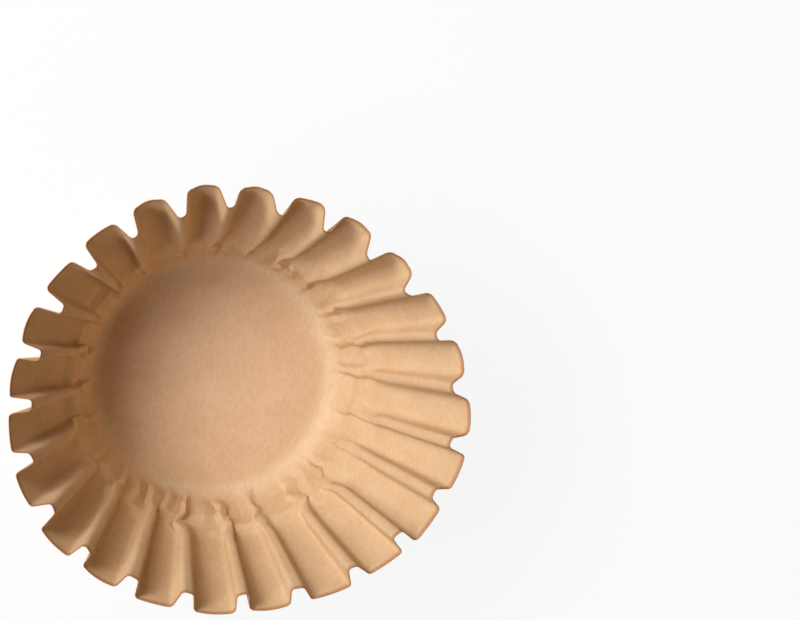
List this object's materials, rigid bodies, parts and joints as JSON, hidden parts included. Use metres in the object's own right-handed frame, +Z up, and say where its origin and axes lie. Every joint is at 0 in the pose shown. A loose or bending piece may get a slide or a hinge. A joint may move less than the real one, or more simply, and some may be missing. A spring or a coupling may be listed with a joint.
{
  "type": "basket coffee filter",
  "caption": "Round flat-bottomed coffee filter of one pleated paper sheet, a flaring cup with a fluted wall and an open top.",
  "frame": {"origin": "middle of the underside of the flat base", "axes": "+Z up out of the opening, square to the flat base; a lobe of the fluted wall lies on +X"},
  "size_m": [0.1491, 0.1371, 0.0637],
  "materials": {
    "filter_paper": "unbleached, finely creped and matt"
  },
  "bodies": {
    "root": {"filter": "filter_paper"}
  },
  "joints": []
}
